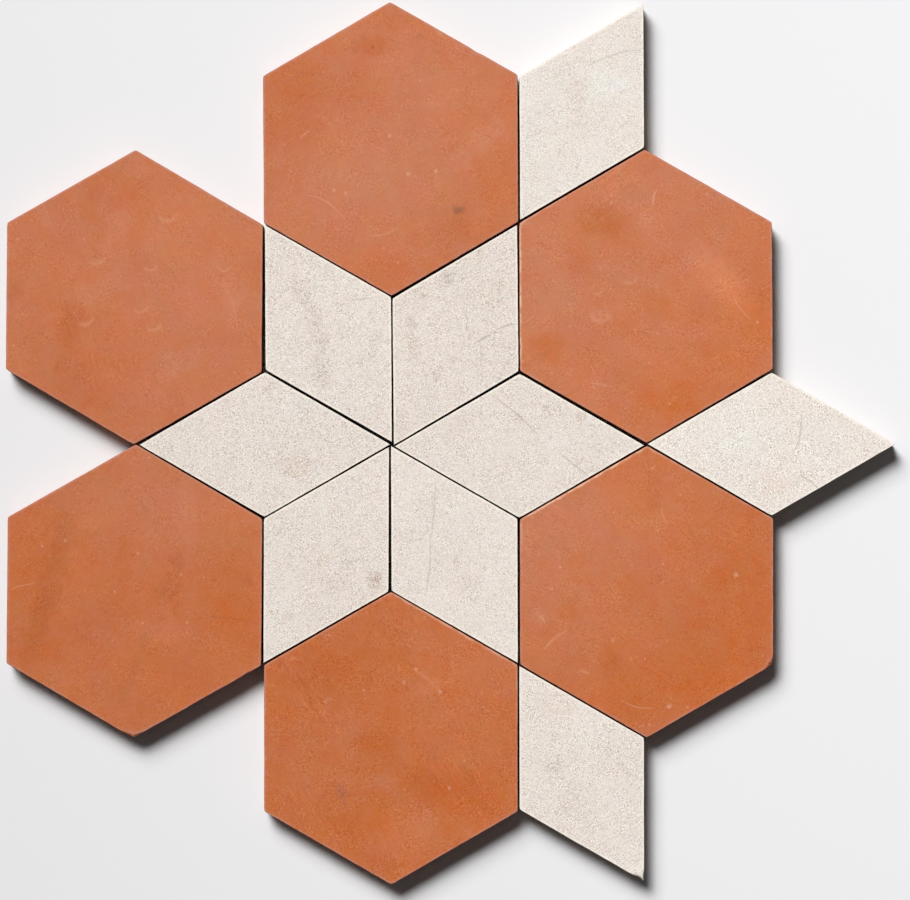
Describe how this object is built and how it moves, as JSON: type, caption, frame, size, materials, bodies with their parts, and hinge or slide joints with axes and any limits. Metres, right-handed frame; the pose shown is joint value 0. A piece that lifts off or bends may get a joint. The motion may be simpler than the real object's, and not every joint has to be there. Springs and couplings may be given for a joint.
{
  "type": "marble mosaic tile",
  "caption": "Interlocking mosaic sheet: terracotta hexagons round a star of cream marble diamonds, held on an open glass-fibre mesh and bedded flat on a floor or wall.",
  "frame": {"origin": "the middle of the star, on the underside of the mesh, which lies on the floor or on the tile adhesive", "axes": "+Z out of the tiled face, +Y towards the top of the sheet, +X towards the side where diamonds stand out to fill the next sheets' notches"},
  "size_m": [0.3018, 0.2994, 0.0105],
  "materials": {
    "terracotta": "matt, unglazed",
    "marble": "honed",
    "glass_fibre": "open mesh"
  },
  "bodies": {
    "root": {"hexagon_upper_right": "terracotta", "hexagon_top": "terracotta", "hexagon_upper_left": "terracotta", "hexagon_lower_left": "terracotta", "hexagon_bottom": "terracotta", "hexagon_lower_right": "terracotta", "star_diamond_right": "marble", "star_diamond_upper_right": "marble", "star_diamond_upper_left": "marble", "star_diamond_left": "marble", "star_diamond_lower_left": "marble", "star_diamond_lower_right": "marble", "outer_diamond_right": "marble", "outer_diamond_upper_right": "marble", "outer_diamond_lower_right": "marble", "mesh_warp": "glass_fibre", "mesh_weft": "glass_fibre"}
  },
  "joints": []
}
